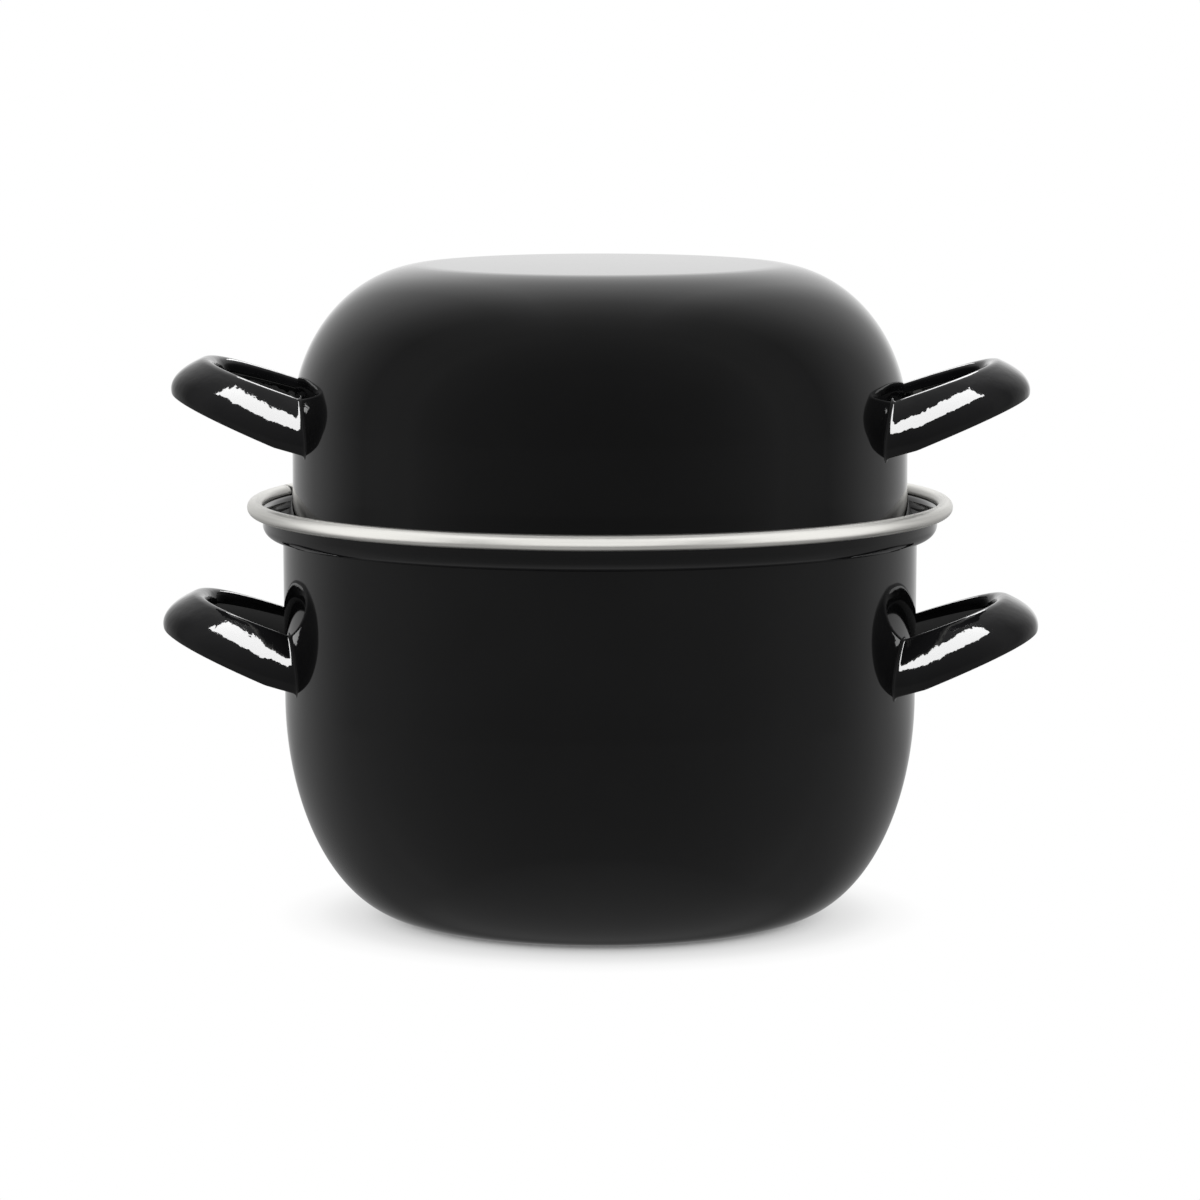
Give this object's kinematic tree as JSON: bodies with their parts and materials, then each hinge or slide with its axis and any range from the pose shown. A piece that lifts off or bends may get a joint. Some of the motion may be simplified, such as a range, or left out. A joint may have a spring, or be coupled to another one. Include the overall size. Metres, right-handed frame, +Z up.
{
  "type": "mussel pot",
  "caption": "Belly pot of black enamelled steel with a polished rim strip and loop handles, under a deep domed lid that lifts off and turns over to serve as a bowl.",
  "frame": {"origin": "centre of the pot's flat base, on the surface that it stands on", "axes": "+Z up through the lid, +X towards the right-hand handles, +Y to the back"},
  "size_m": [0.3054, 0.2456, 0.228],
  "materials": {
    "enamel": "glossy vitreous enamel",
    "rim_steel": "polished"
  },
  "bodies": {
    "pot": {"pot_body": "enamel", "pot_rim": "rim_steel", "pot_handle_left": "enamel", "pot_handle_right": "enamel"},
    "lid": {"lid_shell": "enamel", "lid_handle_left": "enamel", "lid_handle_right": "enamel"}
  },
  "joints": [
    {"name": "lid_lift", "type": "slide", "parent": "pot", "child": "lid", "axis": [0, 0, 1], "range_m": [0, 0.13]}
  ]
}
